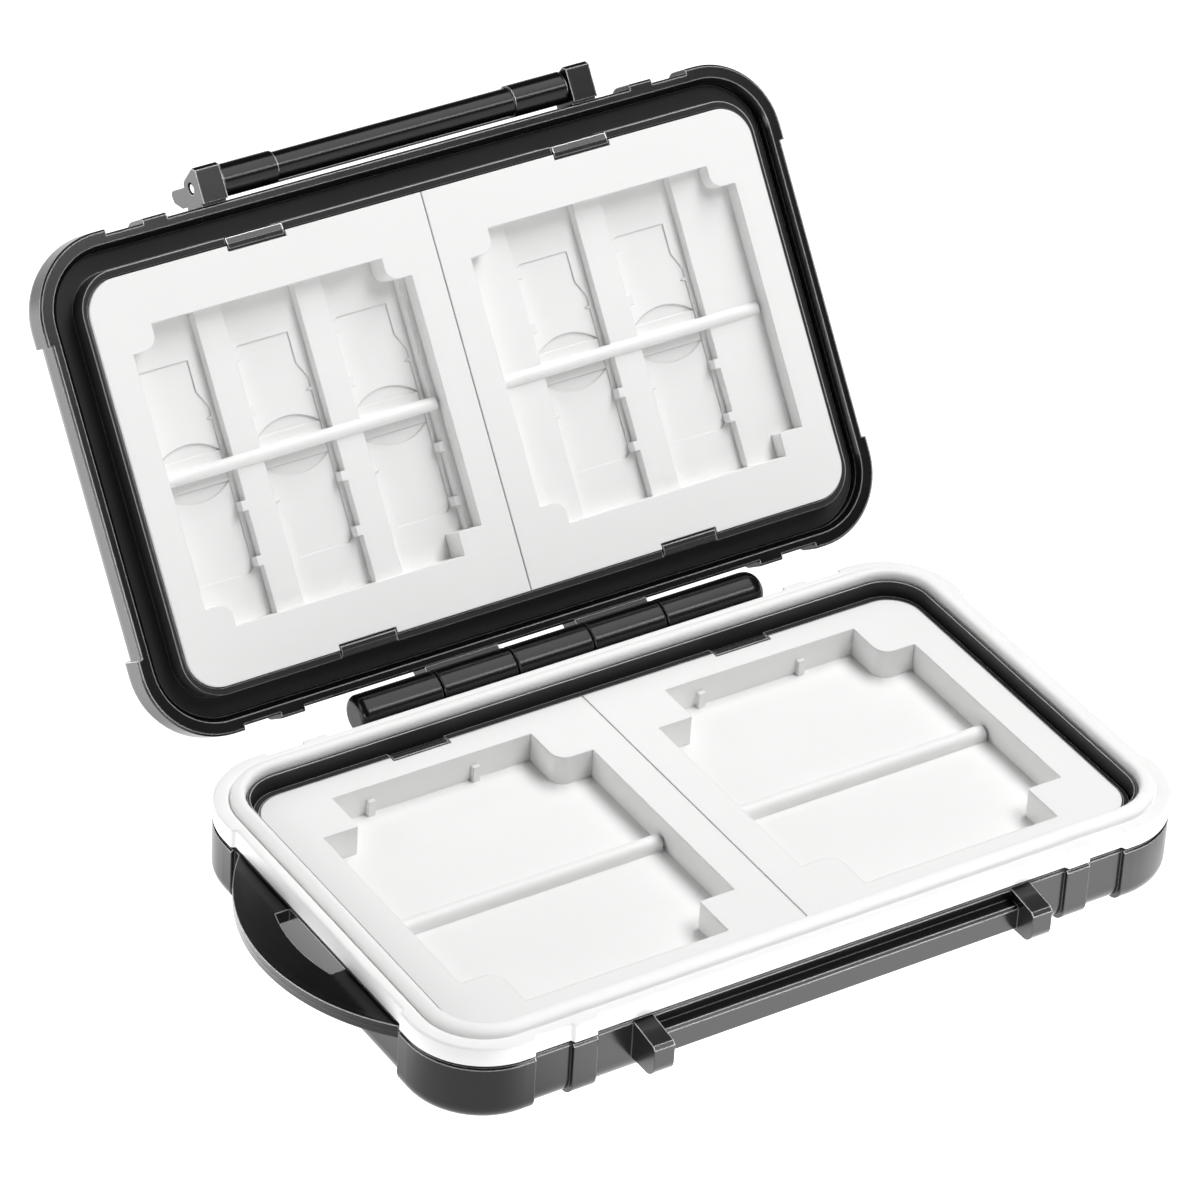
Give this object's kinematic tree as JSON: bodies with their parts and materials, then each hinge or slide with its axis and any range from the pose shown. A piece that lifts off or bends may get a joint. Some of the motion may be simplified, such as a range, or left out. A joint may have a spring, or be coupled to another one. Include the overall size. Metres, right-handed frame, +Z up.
{
  "type": "memory card case",
  "caption": "Hinged pocket case for memory cards, with a sealed rim, moulded card trays in base and lid, a wide front latch and a side loop for a cord.",
  "frame": {"origin": "on the underside of the base, below the middle of its plain outline", "axes": "+X along the case to the right as seen from the latch side, +Y from the latch to the hinge, +Z up; the lid stands open"},
  "size_m": [0.1302, 0.1401, 0.076],
  "materials": {
    "shell_black": "satin",
    "latch_black": "satin",
    "liner_black": "satin",
    "tray_white": "satin",
    "seal_white": "matt",
    "pin_steel": "polished"
  },
  "bodies": {
    "base": {"base_shell": "shell_black", "base_liner": "liner_black", "base_seal": "seal_white", "base_tray_left": "tray_white", "base_tray_right": "tray_white", "base_clip_front_left": "liner_black", "base_clip_front_right": "liner_black", "base_clip_back_left": "liner_black", "base_clip_back_right": "liner_black", "hinge_pin": "pin_steel"},
    "lid": {"lid_shell": "shell_black", "lid_liner": "liner_black", "lid_tray_left": "tray_white", "lid_tray_right": "tray_white", "lid_clip_front_left": "liner_black", "lid_clip_front_right": "liner_black", "lid_clip_back_left": "liner_black", "lid_clip_back_right": "liner_black", "latch_pin_left": "pin_steel", "latch_pin_right": "pin_steel"},
    "latch": {"latch_bar": "latch_black"}
  },
  "joints": [
    {"name": "lid_hinge", "type": "hinge", "parent": "base", "child": "lid", "pos_m": [0, 0.0391, 0.0114], "axis": [1, 0, 0], "range_deg": [0, 125.55]},
    {"name": "latch_pivot", "type": "hinge", "parent": "lid", "child": "latch", "pos_m": [0, 0.08709, 0.07254], "axis": [1, 0, 0], "range_deg": [0, 180]}
  ]
}
